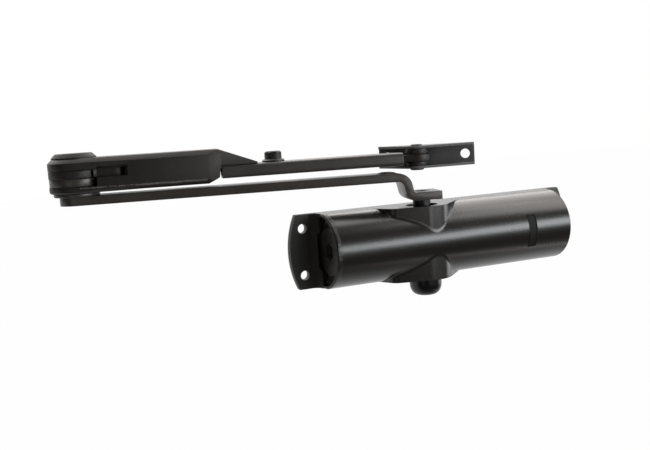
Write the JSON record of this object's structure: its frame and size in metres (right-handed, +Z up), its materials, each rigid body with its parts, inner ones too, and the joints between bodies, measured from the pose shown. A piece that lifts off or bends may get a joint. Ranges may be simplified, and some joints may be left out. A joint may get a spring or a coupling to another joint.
{
  "type": "overhead door closer",
  "caption": "Surface door closer with a rack-and-pinion body, folding hold-open arm, adjustable forearm and frame shoe.",
  "frame": {"origin": "on the door face, behind the pinion and level with the middle of the body", "axes": "+X along the body towards its spring end, +Y into the door, +Z up along the pinion"},
  "size_m": [0.4106, 0.0988, 0.1249],
  "materials": {
    "cast_paint": "satin black paint on cast metal",
    "arm_paint": "satin black paint on steel",
    "black_screw": "blackened screw",
    "steel": "machined steel",
    "spring_steel": "oiled spring steel",
    "brass": "turned brass",
    "rubber": "oil-proof rubber",
    "iron": "machined cast iron",
    "bronze": "sintered bearing metal"
  },
  "bodies": {
    "body": {"body_casting": "cast_paint", "left_end_plug": "iron", "right_end_plug": "iron", "end_plug_seals": "rubber", "upper_bearing": "bronze", "lower_bearing": "bronze", "shaft_seal": "rubber", "gland_nut": "cast_paint", "bottom_cap": "cast_paint"},
    "sweep_screw": {"sweep_valve": "brass"},
    "latch_screw": {"latch_valve": "brass"},
    "adjuster": {"spring_adjuster": "steel"},
    "seat": {"spring_seat": "steel"},
    "piston_set": {"piston": "iron", "piston_rings": "iron", "check_ball": "steel", "check_retainer": "brass", "spring_washer": "steel", "outer_spring": "spring_steel", "inner_spring": "spring_steel"},
    "arm": {"pinion": "steel", "main_arm": "arm_paint", "arm_screw": "black_screw", "elbow_pin": "arm_paint", "elbow_spacer": "arm_paint", "elbow_ring": "arm_paint", "hold_open_cam": "arm_paint", "elbow_cap": "arm_paint"},
    "forearm": {"hold_open_housing": "arm_paint", "spring_stop": "steel", "hold_open_spring": "spring_steel", "forearm_tube": "arm_paint", "clamp_bolt": "black_screw"},
    "carrier": {"roller_carrier": "steel", "roller_pin": "steel"},
    "detent_roller": {"roller": "steel"},
    "rod": {"forearm_rod": "arm_paint"},
    "bracket": {"shoe": "arm_paint", "shoe_pin": "black_screw", "upper_spacer": "arm_paint", "lower_spacer": "arm_paint"}
  },
  "joints": [
    {"name": "arm_swing", "type": "hinge", "parent": "body", "child": "arm", "pos_m": [0, -0.0235, 0], "axis": [0, 0, 1], "range_deg": [-20, 150], "stiffness_Nm_per_rad": 2},
    {"name": "piston_slide", "type": "slide", "parent": "body", "child": "piston_set", "axis": [1, 0, 0], "range_m": [-0.0032, 0.0231], "deforming": ["outer_spring", "inner_spring"]},
    {"name": "elbow_fold", "type": "hinge", "parent": "arm", "child": "forearm", "pos_m": [-0.2443, 0.03832, 0.062], "axis": [0, 0, 1], "range_deg": [-15, 160]},
    {"name": "roller_travel", "type": "slide", "parent": "forearm", "child": "carrier", "axis": [0.9732, -0.23, 0], "range_m": [0, 0.0015], "stiffness_N_per_m": 2000, "deforming": ["hold_open_spring"]},
    {"name": "roller_spin", "type": "hinge", "parent": "carrier", "child": "detent_roller", "pos_m": [-0.22065, 0.03273, 0.06925], "axis": [0, 0, 1], "continuous": true},
    {"name": "rod_slide", "type": "slide", "parent": "forearm", "child": "rod", "axis": [0.9732, -0.23, 0], "range_m": [-0.003, 0.024]},
    {"name": "shoe_swing", "type": "hinge", "parent": "rod", "child": "bracket", "pos_m": [-0.00003, -0.01943, 0.0642], "axis": [0, 0, 1], "range_deg": [-120, 25]},
    {"name": "sweep_valve_turn", "type": "hinge", "parent": "body", "child": "sweep_screw", "pos_m": [0.112, -0.0161, 0.0213], "axis": [1, 0, 0], "range_deg": [0, 720]},
    {"name": "latch_valve_turn", "type": "hinge", "parent": "body", "child": "latch_screw", "pos_m": [0.112, -0.0161, -0.0213], "axis": [1, 0, 0], "range_deg": [0, 720]},
    {"name": "adjuster_turn", "type": "hinge", "parent": "body", "child": "adjuster", "pos_m": [0.115, -0.021, 0], "axis": [1, 0, 0], "range_deg": [0, 1081]},
    {"name": "seat_slide", "type": "slide", "parent": "body", "child": "seat", "axis": [1, 0, 0], "range_m": [-0.0045, 0]}
  ],
  "couplings": [
    {"joint": "piston_slide", "follows": "arm_swing", "m_per_rad": 0.00875},
    {"joint": "adjuster_turn", "follows": "seat_slide", "rad_per_m": -4188.8}
  ]
}
